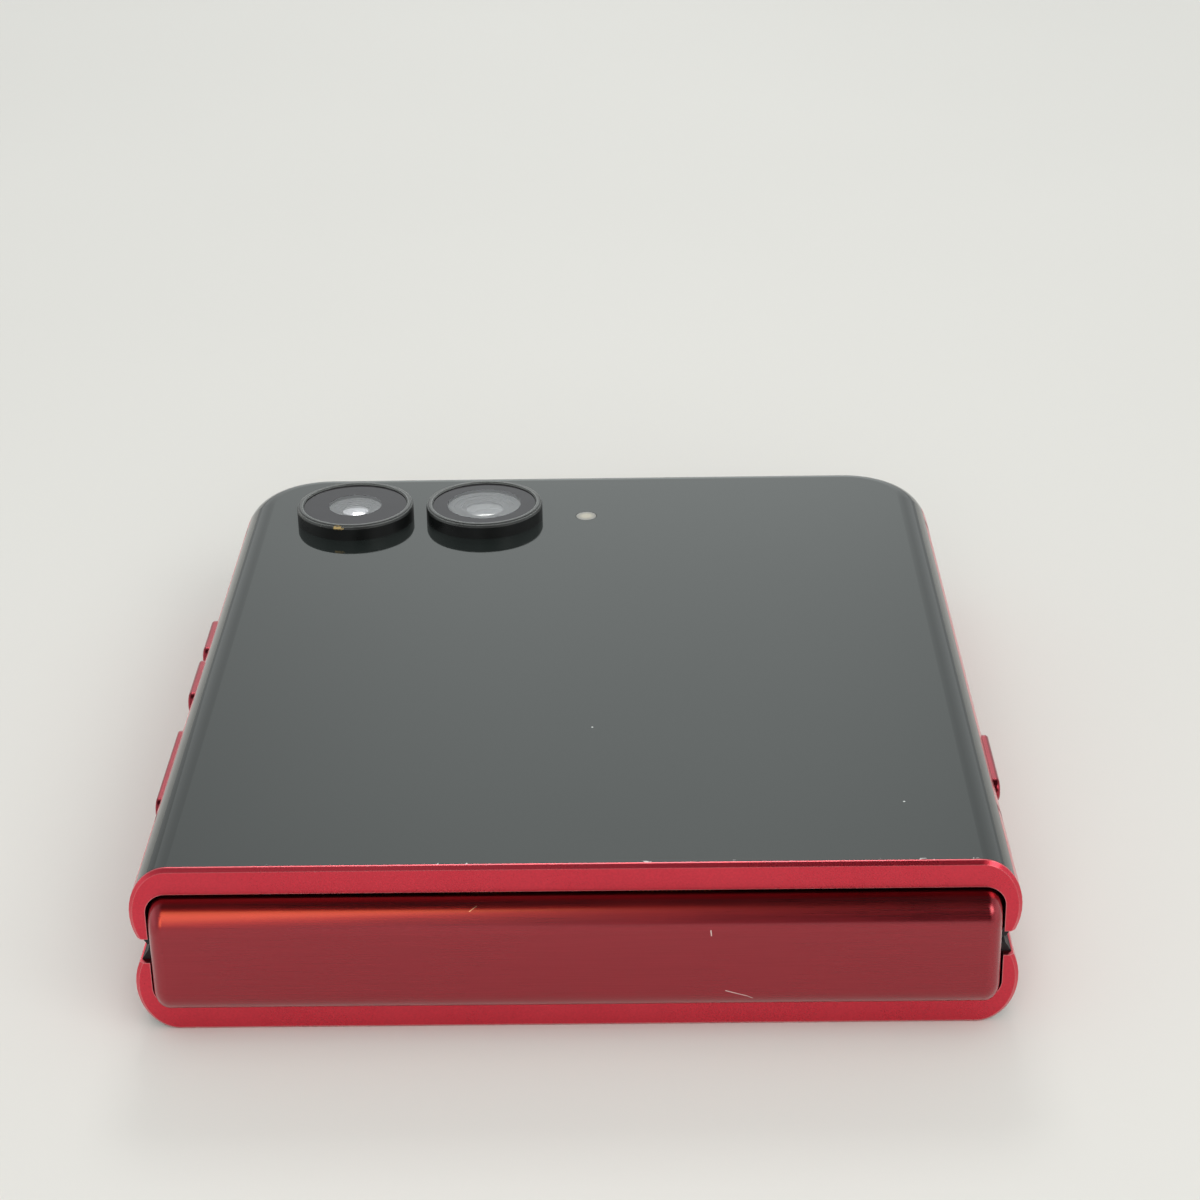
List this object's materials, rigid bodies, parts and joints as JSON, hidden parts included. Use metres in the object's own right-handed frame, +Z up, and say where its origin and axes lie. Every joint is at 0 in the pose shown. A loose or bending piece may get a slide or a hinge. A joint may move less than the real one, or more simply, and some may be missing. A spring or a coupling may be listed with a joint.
{
  "type": "folding phone",
  "caption": "Clamshell folding phone, closed: two metal-framed glass halves on a geared hinge spine, with two raised camera rings, a folding inner display and side keys.",
  "frame": {"origin": "middle of the closed phone's outline on the surface under the back cover", "axes": "+Z up towards the cameras, +Y from the hinge spine to the far edge, +X to the right seen from the hinge"},
  "size_m": [0.0748, 0.0882, 0.0173],
  "materials": {
    "anodised_frame": "satin anodised",
    "anodised_spine": "brushed anodised",
    "anodised_key": "satin anodised",
    "cover_glass": "polished",
    "lens_glass": "polished",
    "camera_ring": "turned, dark anodised",
    "camera_module": "gloss",
    "flash": "clear moulded",
    "rim_plastic": "matt",
    "inner_display": "gloss film",
    "display_panel": "gloss",
    "spring_steel": "rolled",
    "hinge_steel": "sintered",
    "battery_pouch": "foil pouch",
    "circuit_board": "solder mask",
    "copper_coil": "wound",
    "shell_steel": "stamped",
    "black_plastic": "moulded",
    "rubber": "matt",
    "magnet": "nickel plated",
    "band_plastic": "moulded",
    "flex_film": "polyimide"
  },
  "bodies": {
    "lower_half": {"lower_frame": "anodised_frame", "back_cover": "cover_glass", "lower_bezel": "rim_plastic", "display_lower": "inner_display", "lower_display_plate": "spring_steel", "lower_battery": "battery_pouch", "charging_coil": "copper_coil", "sub_board": "circuit_board", "usb_c_receptacle": "shell_steel", "loudspeaker": "black_plastic", "haptic_motor": "shell_steel", "sim_socket": "shell_steel", "lower_hinge_brackets": "hinge_steel", "lower_bumpers": "rubber", "lower_magnets": "magnet", "lower_screws": "hinge_steel", "lower_antenna_bands": "band_plastic"},
    "sim_tray": {"sim_tray": "anodised_key"},
    "lower_wing": {"lower_wing": "spring_steel"},
    "spine": {"spine_cover": "anodised_spine", "hinge_housings": "hinge_steel", "gear_shafts": "hinge_steel", "friction_springs": "spring_steel", "spine_screws": "hinge_steel", "display_fold": "inner_display", "hinge_flex_cables": "flex_film"},
    "lower_sync_arms": {"lower_sync_arms": "hinge_steel"},
    "lower_idlers": {"lower_idler_gears": "hinge_steel"},
    "upper_idlers": {"upper_idler_gears": "hinge_steel"},
    "upper_sync_arms": {"upper_sync_arms": "hinge_steel"},
    "upper_half": {"upper_frame": "anodised_frame", "cover_glass": "cover_glass", "upper_bezel": "rim_plastic", "display_upper": "inner_display", "upper_display_plate": "spring_steel", "upper_battery": "battery_pouch", "main_board": "circuit_board", "cover_display_panel": "display_panel", "main_lens_ring": "camera_ring", "wide_lens_ring": "camera_ring", "main_lens_glass": "lens_glass", "wide_lens_glass": "lens_glass", "main_camera": "camera_module", "wide_camera": "camera_module", "flash_window": "flash", "front_camera": "camera_module", "earpiece": "black_plastic", "upper_hinge_brackets": "hinge_steel", "upper_bumpers": "rubber", "upper_magnets": "magnet", "upper_screws": "hinge_steel", "upper_antenna_bands": "band_plastic", "key_switches": "black_plastic"},
    "upper_wing": {"upper_wing": "spring_steel"},
    "volume_up_key": {"volume_up_key": "anodised_key"},
    "volume_down_key": {"volume_down_key": "anodised_key"},
    "power_key": {"power_key": "anodised_key"},
    "assist_key": {"assist_key": "anodised_key"}
  },
  "joints": [
    {"name": "lower_fold", "type": "hinge", "parent": "lower_half", "child": "spine", "pos_m": [0, -0.04075, 0.00685], "axis": [1, 0, 0], "range_deg": [0, 90], "deforming": ["display_fold", "hinge_flex_cables"]},
    {"name": "upper_fold", "type": "hinge", "parent": "spine", "child": "upper_half", "pos_m": [0, -0.04075, 0.00885], "axis": [1, 0, 0], "range_deg": [0, 90]},
    {"name": "lower_arm_turn", "type": "hinge", "parent": "spine", "child": "lower_sync_arms", "pos_m": [0, -0.0423, 0.00545], "axis": [1, 0, 0], "range_deg": [-90, 0]},
    {"name": "lower_idler_turn", "type": "hinge", "parent": "spine", "child": "lower_idlers", "pos_m": [0, -0.0423, 0.00705], "axis": [1, 0, 0], "range_deg": [0, 90]},
    {"name": "upper_idler_turn", "type": "hinge", "parent": "spine", "child": "upper_idlers", "pos_m": [0, -0.0423, 0.00865], "axis": [1, 0, 0], "range_deg": [-90, 0]},
    {"name": "upper_arm_turn", "type": "hinge", "parent": "spine", "child": "upper_sync_arms", "pos_m": [0, -0.0423, 0.01025], "axis": [1, 0, 0], "range_deg": [0, 90]},
    {"name": "lower_wing_tilt", "type": "hinge", "parent": "lower_half", "child": "lower_wing", "pos_m": [0, -0.0376, 0.0061], "axis": [1, 0, 0], "range_deg": [-15, 0]},
    {"name": "upper_wing_tilt", "type": "hinge", "parent": "upper_half", "child": "upper_wing", "pos_m": [0, -0.0376, 0.0096], "axis": [1, 0, 0], "range_deg": [0, 15]},
    {"name": "tray_slide", "type": "slide", "parent": "lower_half", "child": "sim_tray", "axis": [1, 0, 0], "range_m": [0, 0.024]},
    {"name": "volume_up_key_press", "type": "slide", "parent": "upper_half", "child": "volume_up_key", "axis": [1, 0, 0], "range_m": [0, 0.00025], "stiffness_N_per_m": 6000, "springref_m": -0.0001},
    {"name": "volume_down_key_press", "type": "slide", "parent": "upper_half", "child": "volume_down_key", "axis": [1, 0, 0], "range_m": [0, 0.00025], "stiffness_N_per_m": 6000, "springref_m": -0.0001},
    {"name": "power_key_press", "type": "slide", "parent": "upper_half", "child": "power_key", "axis": [1, 0, 0], "range_m": [0, 0.00025], "stiffness_N_per_m": 6000, "springref_m": -0.0001},
    {"name": "assist_key_press", "type": "slide", "parent": "upper_half", "child": "assist_key", "axis": [-1, 0, 0], "range_m": [0, 0.00025], "stiffness_N_per_m": 6000, "springref_m": -0.0001}
  ],
  "couplings": [
    {"joint": "upper_fold", "follows": "lower_fold", "ratio": 1},
    {"joint": "lower_arm_turn", "follows": "lower_fold", "ratio": -1},
    {"joint": "lower_idler_turn", "follows": "lower_fold", "ratio": 1},
    {"joint": "upper_idler_turn", "follows": "lower_fold", "ratio": -1},
    {"joint": "upper_arm_turn", "follows": "lower_fold", "ratio": 1},
    {"joint": "lower_wing_tilt", "follows": "lower_fold", "ratio": -0.16667},
    {"joint": "upper_wing_tilt", "follows": "lower_fold", "ratio": 0.16667}
  ]
}
